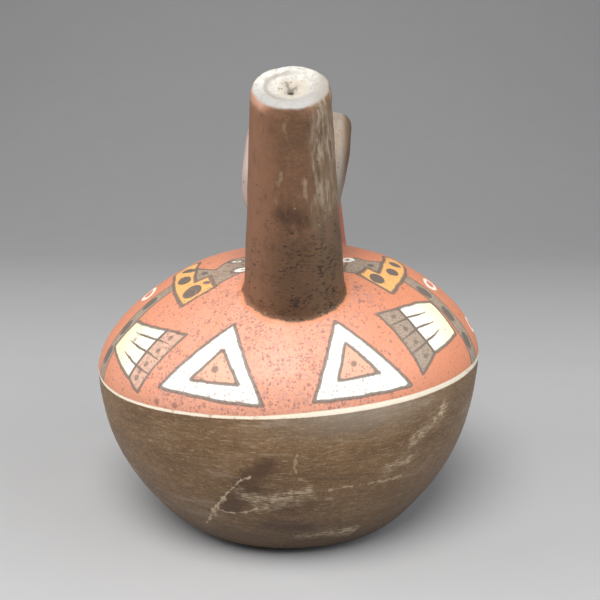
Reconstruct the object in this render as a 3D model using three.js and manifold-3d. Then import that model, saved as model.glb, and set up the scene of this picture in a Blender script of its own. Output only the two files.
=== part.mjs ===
// A squat hand-built clay vessel: a domed body, one leaning conical spout and a strap handle, fired together.
// Millimetres, +Z up. The origin is on the ground under the body's middle, and the spout leans towards -Y.
import * as THREE from 'three';
import { mergeVertices } from 'three/addons/utils/BufferGeometryUtils.js';
import Module from 'manifold-3d';

const wasm = await Module();
wasm.setup();

// Body: a flat-footed bowl below the belly line and a lower dome above it
const BODY_RADIUS = 75;
const BELLY_HEIGHT = 64.1;
const DOME_RISE = 45.1;
const DOME_POWER = 1.72;
const CROWN_FLATTENING = 3;
const CROWN_REACH = 40;
const BOWL_DEPTH = 81.9;
const BOWL_POWER = 1.94;
const FOOT_ROUNDING = 6;
const SLOPE_STEP = 0.5;
const WALL = 6;
// The hand-built body is not quite true: the belly line rises to the right and the body leans a little left
const BELLY_SLOPE = Math.tan(THREE.MathUtils.degToRad(2.6));
const BODY_LEAN = -0.0075;

// Spout and handle share one upright plane, a little right of the body's middle and turned a few degrees
const HANDLE_PLANE_OFFSET = 4.1;
const HANDLE_PLANE_TURN = THREE.MathUtils.degToRad(-2.8);

// Spout: measured along its own axis from a point at the dome's surface up to the rim
const SPOUT_FOOT = { y: -40.6, z: 100 };
const SPOUT_LEAN = THREE.MathUtils.degToRad(20);
const SPOUT_LENGTH = 70.2;
const SPOUT_FOOT_RADIUS = 17.4;
const SPOUT_RIM_RADIUS = 12.2;
const SPOUT_ROOT = 16;
const SPOUT_WALL = 5.4;
const RIM_EDGE = 1.6;
const RIM_SLANT = Math.tan(THREE.MathUtils.degToRad(13));
const MOUTH_RADIUS = 7.6;
const THROAT_RADIUS = 4.2;
const THROAT_DEPTH = 9;
// Below the throat the bore opens in two runs: shares of its height and of its narrowing where they meet
const BORE_BEND_HEIGHT = 0.72;
const BORE_BEND_NARROWING = 0.55;

// Strap handle: a flat band that springs from the spout's back, arches over and lands on the far shoulder
const STRAP_WIDTH = 37;
const STRAP_THICKNESS = 8.6;
const STRAP_EDGE = 3.4;
const STRAP_FLARE = 2.4;
// The strap narrows where it leaves the spout, spreads where it lands and bows to the right at its crown
const STRAP_ROOT_NARROWING = 0.25;
const STRAP_ROOT_REACH = 9;
const STRAP_FOOT_SPREAD = 0.08;
const STRAP_FOOT_HEIGHT = 116;
const STRAP_BOW = 1.2;
const STRAP_ARCH = [
  [-46, 127], [-37.5, 136.5], [-27, 147.3], [-14, 152.8], [-2, 153.7],
  [10, 150.4], [21, 142], [28.8, 129], [33.2, 114], [36, 101], [38, 92],
].map(([y, z]) => new THREE.Vector2(y, z));

// Facets
const BODY_SIDES = 56;
const HOLLOW_SIDES = 28;
const BODY_RINGS = { foot: 3, bowl: 8, dome: 10 };
const HOLLOW_RINGS = { foot: 2, bowl: 5, dome: 6 };
const SPOUT_SIDES = 28;
const SPOUT_RINGS = 5;
const STRAP_STEPS = 18;
const STRAP_EDGE_STEPS = 2;

const CLAY = new THREE.MeshStandardMaterial({ color: 0xb5654a, roughness: 0.55, metalness: 0 });

// A closed geometry as a solid that can be joined and cut
function solid(geometry) {
  const bare = geometry.index ? geometry.toNonIndexed() : geometry.clone();
  bare.deleteAttribute('normal');
  bare.deleteAttribute('uv');
  const merged = mergeVertices(bare, 1e-3);
  const kept = [];
  const corners = merged.index.array;
  for (let i = 0; i < corners.length; i += 3) {
    const [a, b, c] = [corners[i], corners[i + 1], corners[i + 2]];
    if (a !== b && b !== c && c !== a) kept.push(a, b, c);
  }
  return new wasm.Manifold(new wasm.Mesh({
    numProp: 3,
    vertProperties: new Float32Array(merged.attributes.position.array),
    triVerts: new Uint32Array(kept),
  }));
}

// The solid's vertices and triangles as a geometry again
function geometryOf(manifold) {
  const mesh = manifold.getMesh();
  const geometry = new THREE.BufferGeometry();
  geometry.setAttribute('position', new THREE.BufferAttribute(new Float32Array(mesh.vertProperties), 3));
  geometry.setIndex(new THREE.BufferAttribute(new Uint32Array(mesh.triVerts), 1));
  geometry.computeVertexNormals();
  return geometry;
}

// Moves every vertex of a geometry with one function
function reshape(geometry, move) {
  const place = geometry.attributes.position;
  const point = new THREE.Vector3();
  for (let i = 0; i < place.count; i += 1) {
    point.fromBufferAttribute(place, i);
    move(point);
    place.setXYZ(i, point.x, point.y, point.z);
  }
  return geometry;
}

// A round form about the upright axis from [radius, height] pairs that start and end on the axis
function turned(profile, sides) {
  const points = profile.map(([radius, height]) => new THREE.Vector2(radius, height));
  return new THREE.LatheGeometry(points, sides).rotateX(Math.PI / 2);
}

// The body's profile from the foot to the top of the dome, set in by the wall for the hollow
function bodyProfile(inset, rings) {
  const radius = BODY_RADIUS - inset;
  const depth = BOWL_DEPTH - inset;
  const bowlRadius = (height) => {
    const drop = (BELLY_HEIGHT - height) / depth;
    return radius * (1 - drop ** BOWL_POWER) ** (1 / BOWL_POWER);
  };
  const start = inset + FOOT_ROUNDING;
  const slope = (bowlRadius(start + SLOPE_STEP) - bowlRadius(start - SLOPE_STEP)) / (2 * SLOPE_STEP);
  const corner = bowlRadius(start) - slope * FOOT_ROUNDING;
  const rounding = new THREE.QuadraticBezierCurve(
    new THREE.Vector2(corner - Math.hypot(slope, 1) * FOOT_ROUNDING, inset),
    new THREE.Vector2(corner, inset),
    new THREE.Vector2(bowlRadius(start), start),
  );
  const profile = [[0, inset]];
  for (const point of rounding.getPoints(rings.foot)) profile.push([point.x, point.y]);
  const startAngle = Math.asin(((BELLY_HEIGHT - start) / depth) ** (BOWL_POWER / 2));
  for (let ring = 1; ring < rings.bowl; ring += 1) {
    const angle = startAngle * (1 - ring / rings.bowl);
    const drop = depth * Math.sin(angle) ** (2 / BOWL_POWER);
    profile.push([radius * Math.cos(angle) ** (2 / BOWL_POWER), BELLY_HEIGHT - drop]);
  }
  for (let ring = 0; ring <= rings.dome; ring += 1) {
    const angle = (Math.PI / 2) * (ring / rings.dome);
    const rise = (DOME_RISE - inset) * Math.sin(angle) ** (2 / DOME_POWER);
    const reach = ring === rings.dome ? 0 : radius * Math.cos(angle) ** (2 / DOME_POWER);
    const flattening = CROWN_FLATTENING * Math.max(0, 1 - (reach / CROWN_REACH) ** 2) ** 2;
    profile.push([reach, BELLY_HEIGHT + rise - flattening]);
  }
  return profile;
}

// The uneven stance: the belly line slopes, the foot stays flat
function settle(point) {
  const share = THREE.MathUtils.clamp(point.z / BELLY_HEIGHT, 0, 1);
  const height = point.z + BELLY_SLOPE * point.x * share;
  point.x += BODY_LEAN * (point.z - BELLY_HEIGHT);
  point.z = height;
}

function body() {
  return reshape(turned(bodyProfile(0, BODY_RINGS), BODY_SIDES), settle);
}

function hollow() {
  return reshape(turned(bodyProfile(WALL, HOLLOW_RINGS), HOLLOW_SIDES), settle);
}

// Carries a form from the plane of spout and handle into the body's frame
function intoHandlePlane(geometry) {
  return geometry.rotateZ(HANDLE_PLANE_TURN).translate(HANDLE_PLANE_OFFSET, 0, 0);
}

// The spout's worn rim is lower at the front: heights near it follow the slant
function slantRim(point) {
  const share = THREE.MathUtils.clamp(point.z / SPOUT_LENGTH, 0, 1);
  point.z += RIM_SLANT * point.y * share ** 4;
}

// Leans a form made about the spout's own axis and sets it on the shoulder
function ontoShoulder(geometry) {
  reshape(geometry, slantRim);
  geometry.rotateX(SPOUT_LEAN).translate(0, SPOUT_FOOT.y, SPOUT_FOOT.z);
  return intoHandlePlane(geometry);
}

function spoutRadius(height) {
  return THREE.MathUtils.lerp(SPOUT_FOOT_RADIUS, SPOUT_RIM_RADIUS, height / SPOUT_LENGTH);
}

function spout() {
  const profile = [[0, -SPOUT_ROOT]];
  const shaftTop = SPOUT_LENGTH - RIM_EDGE;
  for (let ring = 0; ring <= SPOUT_RINGS; ring += 1) {
    const height = THREE.MathUtils.lerp(-SPOUT_ROOT, shaftTop, ring / SPOUT_RINGS);
    profile.push([spoutRadius(height), height]);
  }
  const crown = spoutRadius(shaftTop) - RIM_EDGE;
  for (const angle of [Math.PI / 4, Math.PI / 2]) {
    profile.push([crown + RIM_EDGE * Math.cos(angle), shaftTop + RIM_EDGE * Math.sin(angle)]);
  }
  profile.push([0, SPOUT_LENGTH]);
  return ontoShoulder(turned(profile, SPOUT_SIDES));
}

// The bore: a funnel mouth down to a narrow throat, then widening into the hollow body
function bore() {
  const throat = SPOUT_LENGTH - THROAT_DEPTH;
  const foot = spoutRadius(0) - SPOUT_WALL;
  const profile = [
    [0, -SPOUT_ROOT],
    [foot, -SPOUT_ROOT],
    [foot, 0],
    [THREE.MathUtils.lerp(foot, THROAT_RADIUS, BORE_BEND_NARROWING), throat * BORE_BEND_HEIGHT],
    [THROAT_RADIUS, throat],
    [MOUTH_RADIUS, SPOUT_LENGTH - RIM_EDGE],
    [MOUTH_RADIUS + RIM_EDGE, SPOUT_LENGTH + RIM_EDGE],
    [MOUTH_RADIUS + RIM_EDGE, SPOUT_LENGTH + SPOUT_WALL],
    [0, SPOUT_LENGTH + SPOUT_WALL],
  ];
  return ontoShoulder(turned(profile, SPOUT_SIDES));
}

// The strap's side outline: the arch with half the thickness to each side, thicker where it lands
function strapOutline() {
  const arch = new THREE.SplineCurve(STRAP_ARCH);
  const outer = [];
  const inner = [];
  for (let step = 0; step <= STRAP_STEPS; step += 1) {
    const share = step / STRAP_STEPS;
    const middle = arch.getPointAt(share);
    const along = arch.getTangentAt(share);
    const half = STRAP_THICKNESS / 2 + STRAP_FLARE * Math.abs(2 * share - 1) ** 8;
    outer.push(new THREE.Vector2(middle.x - along.y * half, middle.y + along.x * half));
    inner.push(new THREE.Vector2(middle.x + along.y * half, middle.y - along.x * half));
  }
  return new THREE.Shape([...outer, ...inner.reverse()]);
}

// Narrows the strap at the spout, spreads its foot and bows its crown, across the plane it arches in
function shapeStrap(point) {
  const { clamp, smoothstep } = THREE.MathUtils;
  const [root, crown] = [STRAP_ARCH[0], STRAP_ARCH[4]];
  const fromRoot = smoothstep(point.y, root.x, root.x + STRAP_ROOT_REACH);
  const overFoot = (point.z - SPOUT_FOOT.z) / (STRAP_FOOT_HEIGHT - SPOUT_FOOT.z);
  const low = point.y > crown.x ? clamp(1 - overFoot, 0, 1) : 0;
  point.x *= 1 - STRAP_ROOT_NARROWING * (1 - fromRoot) + STRAP_FOOT_SPREAD * low ** 2;
  point.x += STRAP_BOW * clamp((point.z - root.y) / (crown.y - root.y), 0, 1);
}

function strap() {
  const geometry = new THREE.ExtrudeGeometry(strapOutline(), {
    depth: STRAP_WIDTH - 2 * STRAP_EDGE,
    steps: 1,
    bevelSize: STRAP_EDGE,
    bevelThickness: STRAP_EDGE,
    bevelOffset: -STRAP_EDGE,
    bevelSegments: STRAP_EDGE_STEPS,
  });
  geometry.translate(0, 0, STRAP_EDGE - STRAP_WIDTH / 2);
  // The outline was drawn in the plane of spout and handle, and the width runs across it
  const across = new THREE.Matrix4().makeBasis(
    new THREE.Vector3(0, 1, 0),
    new THREE.Vector3(0, 0, 1),
    new THREE.Vector3(1, 0, 0),
  );
  return intoHandlePlane(reshape(geometry.applyMatrix4(across), shapeStrap));
}

function named(name, clay) {
  const mesh = new THREE.Mesh(geometryOf(clay), CLAY);
  mesh.name = name;
  return mesh;
}

// The clay is parted at the spout's foot: the strap belongs to the body and ends against the spout's back
const shell = solid(body());
const cone = solid(spout());
const space = solid(hollow()).add(solid(bore()));

const group = new THREE.Group();
group.add(named('body', shell.add(solid(strap()).subtract(cone)).subtract(space)));
group.add(named('spout', cone.subtract(shell).subtract(space)));

export default group;
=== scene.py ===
"""Painted clay vessel with a leaning spout and a strap handle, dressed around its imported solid."""
import math

import bpy
import numpy as np
from mathutils import Matrix, Vector, noise


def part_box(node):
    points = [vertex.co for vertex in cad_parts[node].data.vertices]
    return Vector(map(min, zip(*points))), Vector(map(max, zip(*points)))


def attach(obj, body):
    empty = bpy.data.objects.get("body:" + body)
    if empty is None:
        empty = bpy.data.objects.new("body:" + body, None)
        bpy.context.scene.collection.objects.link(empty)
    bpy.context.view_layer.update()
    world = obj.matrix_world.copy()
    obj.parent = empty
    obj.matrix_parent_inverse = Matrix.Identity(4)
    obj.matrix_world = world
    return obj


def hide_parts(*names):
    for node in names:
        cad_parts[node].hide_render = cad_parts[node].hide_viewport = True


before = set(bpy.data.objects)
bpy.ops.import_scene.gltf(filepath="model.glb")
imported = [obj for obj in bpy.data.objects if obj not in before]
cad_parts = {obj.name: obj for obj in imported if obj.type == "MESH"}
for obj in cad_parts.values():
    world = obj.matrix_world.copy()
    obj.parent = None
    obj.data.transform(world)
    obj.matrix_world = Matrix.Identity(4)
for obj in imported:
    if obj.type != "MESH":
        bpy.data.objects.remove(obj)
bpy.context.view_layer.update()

# All shapes are modelled in millimetres and brought to metres at the end
MM = 0.001
node_low, node_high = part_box("body")

# Body
BODY_RADIUS = (node_high.x - node_low.x) / 2 / MM
BELLY_HEIGHT = 64.1
DOME_RISE = 45.1
DOME_POWER = 1.72
CROWN_FLATTENING = 3.0
CROWN_REACH = 40.0
BOWL_DEPTH = 81.9
BOWL_POWER = 1.94
FOOT_ROUNDING = 6.0
WALL = 6.0
BELLY_SLOPE = math.tan(math.radians(2.6))
BODY_LEAN = -0.0075

# Upright plane of spout and handle
PLANE_OFFSET = 4.1
PLANE_TURN = math.radians(-2.8)

# Spout, along its own axis
SPOUT_FOOT = Vector((0.0, -40.6, 100.0))
SPOUT_LEAN = math.radians(20)
SPOUT_LENGTH = 70.2
SPOUT_FOOT_RADIUS = 17.4
SPOUT_RIM_RADIUS = 12.2
SPOUT_ROOT = 16.0
SPOUT_WALL = 5.4
RIM_EDGE = 1.6
RIM_STEPS = 6
RIM_TOP_RINGS = (0.9, 0.8, 0.0)
RIM_SLANT = math.tan(math.radians(13))
RIM_SLANT_POWER = 4
MOUTH_RADIUS = 7.6
THROAT_RADIUS = 4.2
THROAT_DEPTH = 9.0
BORE_BEND_HEIGHT = 0.72
BORE_BEND_NARROWING = 0.55
DISH_DEPTH = 1.9
DISH_HOLE = 0.8
DISH_HOLE_FLARE = 1.15
DISH_CRUST = 1.6
DISH_FLOOR_SHARE = 0.72
DISH_FLOOR_RISE = 0.3
MOUTH_LIP = 0.7
MOUTH_FLARE = 0.9
BORE_STEP = 0.9
SPOUT_CONE_ENDS = (-0.3, 1.1)

# Strap handle
STRAP_WIDTH = 37.0
STRAP_THICKNESS = 8.6
STRAP_EDGE = 3.4
STRAP_FLARE = 2.4
STRAP_FLARE_POWER = 8
STRAP_ROOT_NARROWING_LEFT = 0.45
STRAP_ROOT_REACH_LEFT = 9.0
STRAP_ROOT_NARROWING_RIGHT = 0.2
STRAP_ROOT_REACH_RIGHT = 20.0
STRAP_FOOT_SPREAD = 0.08
STRAP_FOOT_HEIGHT = 116.0
STRAP_BOW = 1.2
STRAP_CROWNING = 1.4
STRAP_CROWNING_POWER = 3
STRAP_WAIST = 0.16
STRAP_WAIST_HEIGHT = 133.0
STRAP_WAIST_REACH = 17.0
STRAP_WAIST_START = 20.0
STRAP_ARCH = [
    (-46, 127), (-37.5, 136.5), (-27, 147.3), (-14, 152.8), (-2, 153.7), (10, 150.4),
    (21, 142), (28.8, 129), (33.2, 114), (36, 101), (38, 92),
]
STRAP_ROOT, STRAP_TOP = STRAP_ARCH[0], STRAP_ARCH[4]

# Fineness: rings of foot, bowl and dome, sides of round forms, the strap's cuts along, across and through
BODY_RINGS, BODY_SIDES = (8, 34, 108), 480
HOLLOW_RINGS, HOLLOW_SIDES = (4, 14, 22), 96
SPOUT_RINGS, SPOUT_SIDES = 76, 96
STRAP_CUTS = (92, 24, 7)
CURVE_SAMPLES = 2000
ARCH_STEPS = 60
ARCH_SAMPLES = 400
ARCH_STATIONS = 160
MERGE_DISTANCE = 1e-4
STANCE_ROUNDS = 6
TINY = 1e-9

# Joins: how close to a join the clay is softened, and how often
FOOT_JOIN_REACH = 3.2
STRAP_JOIN_REACH = 2.6
STRAP_JOIN_MARGIN = 4.0
STRAP_JOIN_UNDER_RIM = 12.0
RIM_JOIN_REACH = 2.4
RIM_JOIN_TOP = -1.0
DOME_MARGIN = -2.0
JOIN_SOFTENING, JOIN_REPEATS = 0.5, 14

# Unevenness in mm: size of the waves, their height and where they start, and where rim and foot fade out
WALL_WAVES = [(26, 0.45, (0, 0, 0)), (9, 0.12, (7, 3, 1))]
RIM_WAVES = [(4.4, 0.3, (2, 9, 4)), (1.5, 0.14, (0, 0, 0))]
RIM_FADE, FOOT_FADE = (1.5, 9), (1.5, 10)

# Material slots on the vessel
BODY_SLOT, SPOUT_SLOT, STRAP_SLOT, INSIDE_SLOT = range(4)


# Curves and profiles

def between(start, end, share):
    return tuple(a + (b - a) * share for a, b in zip(start, end))


def smoothstep(low, high, value):
    share = np.clip((value - low) / (high - low), 0, 1)
    return share * share * (3 - 2 * share)


def hill(value, middle, reach):
    """1 at the middle, falling smoothly to both sides."""
    return np.exp(-((value - middle) / reach) ** 2)


def superellipse(radius, rise, power, angle):
    """Distance out and height of a rounded profile, from the belly (0) to the pole (a quarter turn)."""
    return radius * math.cos(angle) ** (2 / power), rise * math.sin(angle) ** (2 / power)


def foot_profile(inset, steps):
    """The rounded foot: from the flat underside out to the start of the bowl."""
    radius, depth = BODY_RADIUS - inset, BOWL_DEPTH - inset

    def bowl_radius(height):
        return radius * (1 - ((BELLY_HEIGHT - height) / depth) ** BOWL_POWER) ** (1 / BOWL_POWER)

    start = inset + FOOT_ROUNDING
    # Slope: how much the radius grows over one millimetre of height
    slope = bowl_radius(start + 0.5) - bowl_radius(start - 0.5)
    corner = bowl_radius(start) - slope * FOOT_ROUNDING
    flat = corner - math.hypot(slope, 1) * FOOT_ROUNDING
    points = []
    for step in range(steps + 1):
        share = step / steps
        out = (1 - share) ** 2 * flat + 2 * share * (1 - share) * corner + share ** 2 * bowl_radius(start)
        points.append((out, inset + FOOT_ROUNDING * share ** 2))
    return points


def body_profile(inset, foot_steps, bowl_steps, dome_steps):
    """Profile of the body, from the middle of the foot to the top of the dome."""
    radius, depth = BODY_RADIUS - inset, BOWL_DEPTH - inset
    foot = foot_profile(inset, foot_steps)
    flat = foot[0][0]
    points = [(0.0, inset), (flat / 3, inset), (flat * 2 / 3, inset)] + foot
    start = math.asin(((BELLY_HEIGHT - foot[-1][1]) / depth) ** (BOWL_POWER / 2))
    for step in range(1, bowl_steps):
        out, drop = superellipse(radius, depth, BOWL_POWER, start * (1 - step / bowl_steps))
        points.append((out, BELLY_HEIGHT - drop))
    for angle in dome_angles(dome_steps):
        out, rise = superellipse(radius, DOME_RISE - inset, DOME_POWER, angle)
        points.append((out, BELLY_HEIGHT + rise - crown_flattening(out)))
    points[-1] = (0.0, points[-1][1])
    return points


def dome_curve():
    """Fine angles from the belly to the pole, the dome's distance out there and the way along its curve."""
    angles = np.linspace(0, math.pi / 2, CURVE_SAMPLES)
    out = BODY_RADIUS * np.cos(angles) ** (2 / DOME_POWER)
    rise = DOME_RISE * np.sin(angles) ** (2 / DOME_POWER)
    way = np.concatenate([[0], np.cumsum(np.hypot(np.diff(out), np.diff(rise)))])
    return angles, out, way


def dome_angles(steps):
    """Angles from the belly to the pole that space the dome's rings evenly along its curve."""
    angles, _, way = dome_curve()
    return [float(angle) for angle in np.interp(np.linspace(0, way[-1], steps + 1), way, angles)]


def crown_flattening(out):
    """How far the top of the dome is flattened at a distance from the axis."""
    return CROWN_FLATTENING * np.clip(1 - (out / CROWN_REACH) ** 2, 0, 1) ** 2


def spout_radius(height):
    share = height / SPOUT_LENGTH
    return SPOUT_FOOT_RADIUS + (SPOUT_RIM_RADIUS - SPOUT_FOOT_RADIUS) * share


def spout_profile():
    """Profile of the spout, from inside the dome up over the rounded edge of the rim."""
    top = SPOUT_LENGTH - RIM_EDGE
    heights = np.linspace(-SPOUT_ROOT, top, SPOUT_RINGS)
    points = [(0.0, -SPOUT_ROOT)] + [(spout_radius(height), float(height)) for height in heights]
    crown = spout_radius(top) - RIM_EDGE
    for angle in np.linspace(0, math.pi / 2, RIM_STEPS + 1)[1:]:
        points.append((crown + RIM_EDGE * math.cos(angle), top + RIM_EDGE * math.sin(angle)))
    return points + [(crown * share, SPOUT_LENGTH) for share in RIM_TOP_RINGS]


def bore_profile():
    """The bore, from the hollow body up to a crusted dish in the mouth with a small hole left in it."""
    throat = SPOUT_LENGTH - THROAT_DEPTH
    foot = spout_radius(0) - SPOUT_WALL
    middle = foot + (THROAT_RADIUS - foot) * BORE_BEND_NARROWING
    dish = SPOUT_LENGTH - DISH_DEPTH
    corners = [
        (foot, -SPOUT_ROOT),
        (foot, 0),
        (middle, throat * BORE_BEND_HEIGHT),
        (THROAT_RADIUS, throat),
        (DISH_HOLE, dish - DISH_CRUST),
        (DISH_HOLE * DISH_HOLE_FLARE, dish),
        (MOUTH_RADIUS * DISH_FLOOR_SHARE, dish + DISH_DEPTH * DISH_FLOOR_RISE),
        (MOUTH_RADIUS, SPOUT_LENGTH - MOUTH_LIP),
        (MOUTH_RADIUS + RIM_EDGE, SPOUT_LENGTH + MOUTH_FLARE),
        (MOUTH_RADIUS + RIM_EDGE, SPOUT_LENGTH + SPOUT_WALL),
    ]
    points = [(0.0, -SPOUT_ROOT)]
    for start, end in zip(corners, corners[1:]):
        count = max(1, round(math.dist(start, end) / BORE_STEP))
        points += [between(start, end, step / count) for step in range(count)]
    return points + [corners[-1], (0.0, SPOUT_LENGTH + SPOUT_WALL)]


def arch_curve():
    """Many points of a smooth curve through the corners of the strap's arch, in the handle's plane."""
    corners = np.array(STRAP_ARCH, float)
    padded = np.vstack([2 * corners[0] - corners[1], corners, 2 * corners[-1] - corners[-2]])
    points = []
    for before, start, end, after in zip(padded, padded[1:], padded[2:], padded[3:]):
        bend = 2 * before - 5 * start + 4 * end - after
        twist = 3 * start - before - 3 * end + after
        for t in np.linspace(0, 1, ARCH_STEPS, endpoint=False):
            points.append(0.5 * (2 * start + (end - before) * t + bend * t ** 2 + twist * t ** 3))
    return np.array(points + [corners[-1]])


def arch_points(count):
    """Evenly spaced points along the strap's arch, with their directions."""
    curve = arch_curve()
    way = np.concatenate([[0], np.cumsum(np.linalg.norm(np.diff(curve, axis=0), axis=1))])
    stations = np.linspace(0, way[-1], count)
    middle = np.stack([np.interp(stations, way, curve[:, k]) for k in (0, 1)], 1)
    along = np.gradient(middle, axis=0)
    return middle, along / np.linalg.norm(along, axis=1)[:, None]


# Reading and writing mesh points in one go

def points_of(obj):
    flat = np.empty(len(obj.data.vertices) * 3)
    obj.data.vertices.foreach_get("co", flat)
    return flat.reshape(-1, 3)


def place_points(obj, points):
    obj.data.vertices.foreach_set("co", np.ascontiguousarray(points, np.float64).ravel())
    obj.data.update()


# Moves that take a form from its own axis to its place on the vessel

def settle(points):
    """The uneven stance of the hand-built body: its belly line slopes, it leans, and the foot stays flat."""
    x, y, z = points.T
    share = np.clip(z / BELLY_HEIGHT, 0, 1)
    return np.stack([x + BODY_LEAN * (z - BELLY_HEIGHT), y, z + BELLY_SLOPE * x * share], 1)


def unsettle(points):
    """The body's even form under its stance."""
    x, y, z = points.T
    even_z = z.copy()
    for _ in range(STANCE_ROUNDS):
        even_x = x - BODY_LEAN * (even_z - BELLY_HEIGHT)
        even_z = z - BELLY_SLOPE * even_x * np.clip(even_z / BELLY_HEIGHT, 0, 1)
    return np.stack([even_x, y, even_z], 1)


def handle_plane():
    return Matrix.Translation((PLANE_OFFSET, 0, 0)) @ Matrix.Rotation(PLANE_TURN, 4, "Z")


def spout_frame():
    return handle_plane() @ Matrix.Translation(SPOUT_FOOT) @ Matrix.Rotation(SPOUT_LEAN, 4, "X")


def moved(points, matrix):
    return points @ np.array(matrix.to_3x3()).T + np.array(matrix.translation)


def slant_rim(points):
    """Tilts the rim by the slant and leaves the spout's foot as it is."""
    x, y, z = points.T
    share = np.clip(z / SPOUT_LENGTH, 0, 1)
    return np.stack([x, y, z + RIM_SLANT * y * share ** RIM_SLANT_POWER], 1)


# Modelling steps

def choose(form):
    """Selects one form alone and makes it the active one."""
    bpy.ops.object.select_all(action="DESELECT")
    form.select_set(True)
    bpy.context.view_layer.objects.active = form


def choose_edges(form, wanted):
    """Goes to edit mode with the edges selected that wanted accepts, by the numbers of their two ends."""
    bpy.ops.object.mode_set(mode="EDIT")
    bpy.ops.mesh.select_mode(type="EDGE")
    bpy.ops.mesh.select_all(action="DESELECT")
    bpy.ops.object.mode_set(mode="OBJECT")
    for edge in form.data.edges:
        edge.select = bool(wanted(*edge.vertices))
    bpy.ops.object.mode_set(mode="EDIT")


def close_form():
    """Merges the doubled points of the form in edit mode, turns its faces outwards and leaves edit mode."""
    bpy.ops.mesh.select_mode(type="VERT")
    bpy.ops.mesh.select_all(action="SELECT")
    bpy.ops.mesh.remove_doubles(threshold=MERGE_DISTANCE)
    bpy.ops.mesh.normals_make_consistent(inside=False)
    bpy.ops.object.mode_set(mode="OBJECT")


def spun(name, profile, steps):
    """A round form: a ring's corners are laid along the profile and spun about the upright axis."""
    bpy.ops.object.select_all(action="DESELECT")
    bpy.ops.mesh.primitive_circle_add(vertices=len(profile), radius=1, fill_type="NOTHING")
    form = bpy.context.object
    form.name = name
    place_points(form, np.array([(out, 0.0, high) for out, high in profile]))
    ends = {0, len(profile) - 1}
    choose_edges(form, lambda start, end: {start, end} == ends)
    bpy.ops.mesh.delete(type="EDGE")
    bpy.ops.mesh.select_mode(type="VERT")
    bpy.ops.mesh.select_all(action="SELECT")
    bpy.ops.mesh.spin(steps=steps, angle=2 * math.pi, center=(0, 0, 0), axis=(0, 0, 1))
    close_form()
    return form


def cut_block(name, along, across, through):
    """A block from -1 to 1 on each axis, cut evenly along y, across x and through z."""
    bpy.ops.object.select_all(action="DESELECT")
    bpy.ops.mesh.primitive_cube_add(size=2)
    block = bpy.context.object
    block.name = name
    for axis, cuts in ((1, along), (0, across), (2, through)):
        corners = points_of(block)
        choose_edges(block, lambda start, end: np.abs(corners[start] - corners[end]).argmax() == axis)
        bpy.ops.mesh.subdivide(number_cuts=cuts)
        bpy.ops.object.mode_set(mode="OBJECT")
    return block


def strap_section(block):
    """Places across and over the strap's middle, with round edges, crowned faces and flared ends."""
    half_width = STRAP_WIDTH / 2
    half = STRAP_THICKNESS / 2 + STRAP_FLARE * np.abs(block[:, 1]) ** STRAP_FLARE_POWER
    flat = np.stack([block[:, 0] * half_width, block[:, 2] * half], 1)
    reach = np.stack([np.full(len(half), half_width - STRAP_EDGE), half - STRAP_EDGE], 1)
    core = np.clip(flat, -reach, reach)
    out = flat - core
    size = np.linalg.norm(out, axis=1)
    rounded = core + out / np.maximum(size, TINY)[:, None] * np.minimum(size, STRAP_EDGE)[:, None]
    across = rounded[:, 0]
    return across, rounded[:, 1] - STRAP_CROWNING * (np.abs(across) / half_width) ** STRAP_CROWNING_POWER


def strap_widening(x, y, z):
    """The strap's width against its even width: a narrowed root, a waist in the far leg and a spread foot."""
    from_root = y - STRAP_ROOT[0]
    root_left = STRAP_ROOT_NARROWING_LEFT * (1 - smoothstep(0, STRAP_ROOT_REACH_LEFT, from_root))
    root_right = STRAP_ROOT_NARROWING_RIGHT * (1 - smoothstep(0, STRAP_ROOT_REACH_RIGHT, from_root))
    waist = STRAP_WAIST * smoothstep(0, STRAP_WAIST_START, y) * hill(z, STRAP_WAIST_HEIGHT, STRAP_WAIST_REACH)
    low = np.clip(1 - (z - SPOUT_FOOT.z) / (STRAP_FOOT_HEIGHT - SPOUT_FOOT.z), 0, 1) * (y > STRAP_TOP[0])
    return 1 - np.where(x < 0, root_left, root_right) + STRAP_FOOT_SPREAD * low ** 2 - waist


def build_strap():
    """The strap: a cut block with rounded edges, bent over the arch."""
    strap = cut_block("strap", *STRAP_CUTS)
    block = points_of(strap)
    numbers = np.arange(ARCH_SAMPLES)
    station = (block[:, 1] + 1) / 2 * numbers[-1]
    centre, forward = [
        np.stack([np.interp(station, numbers, line[:, k]) for k in (0, 1)], 1)
        for line in arch_points(ARCH_SAMPLES)
    ]
    x, over = strap_section(block)
    y = centre[:, 0] - forward[:, 1] * over
    z = centre[:, 1] + forward[:, 0] * over
    x = x * strap_widening(x, y, z)
    x = x + STRAP_BOW * np.clip((z - STRAP_ROOT[1]) / (STRAP_TOP[1] - STRAP_ROOT[1]), 0, 1)
    place_points(strap, moved(np.stack([x, y, z], 1), handle_plane()))
    bpy.ops.object.mode_set(mode="EDIT")
    close_form()
    return strap


def joined(base, other, operation):
    """Joins or cuts with a boolean modifier and deletes the other form."""
    choose(base)
    cut = base.modifiers.new("join", "BOOLEAN")
    cut.operation = operation
    cut.solver = "EXACT"
    cut.material_mode = "INDEX"
    cut.object = other
    bpy.ops.object.modifier_apply(modifier=cut.name)
    bpy.data.objects.remove(other)
    return base


def give_slots(form, materials, slot):
    for material in materials:
        form.data.materials.append(material)
    form.data.polygons.foreach_set("material_index", np.full(len(form.data.polygons), slot, np.int32))


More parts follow.
